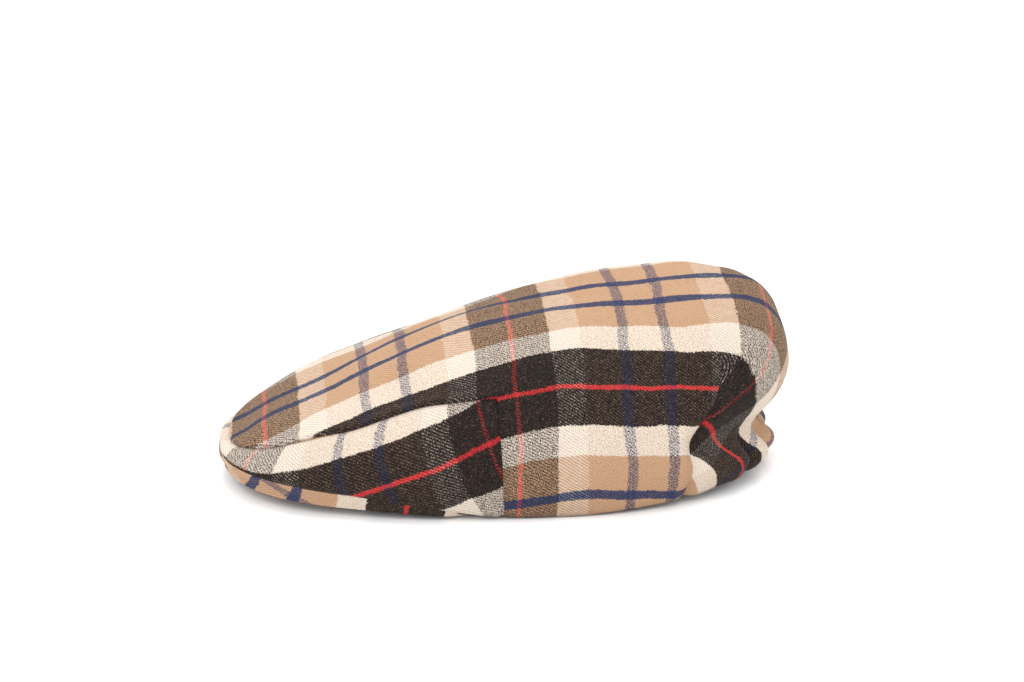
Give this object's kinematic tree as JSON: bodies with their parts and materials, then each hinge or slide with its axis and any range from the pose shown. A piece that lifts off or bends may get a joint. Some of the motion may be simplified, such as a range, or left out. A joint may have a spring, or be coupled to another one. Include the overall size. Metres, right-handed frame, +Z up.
{
  "type": "flat cap",
  "caption": "Soft checked wool flat cap with a stiffened peak, a one-piece crown with rear darts, a gathered rear band and an inner sweatband.",
  "frame": {"origin": "bottom centre of the cap's box, on the surface that the cap's rim rests on", "axes": "+Z up through the crown, -X towards the peak, +X towards the back, -Y the wearer's left side"},
  "size_m": [0.2711, 0.1398, 0.089],
  "materials": {
    "crown_cloth": "brushed woollen twill, checked",
    "peak_cloth": "brushed woollen twill, checked",
    "under_cloth": "brushed woollen twill, checked",
    "band_cloth": "plain dark cotton"
  },
  "bodies": {
    "root": {"crown": "crown_cloth", "peak_cover": "peak_cloth", "peak_under": "under_cloth", "sweatband": "band_cloth"}
  },
  "joints": []
}
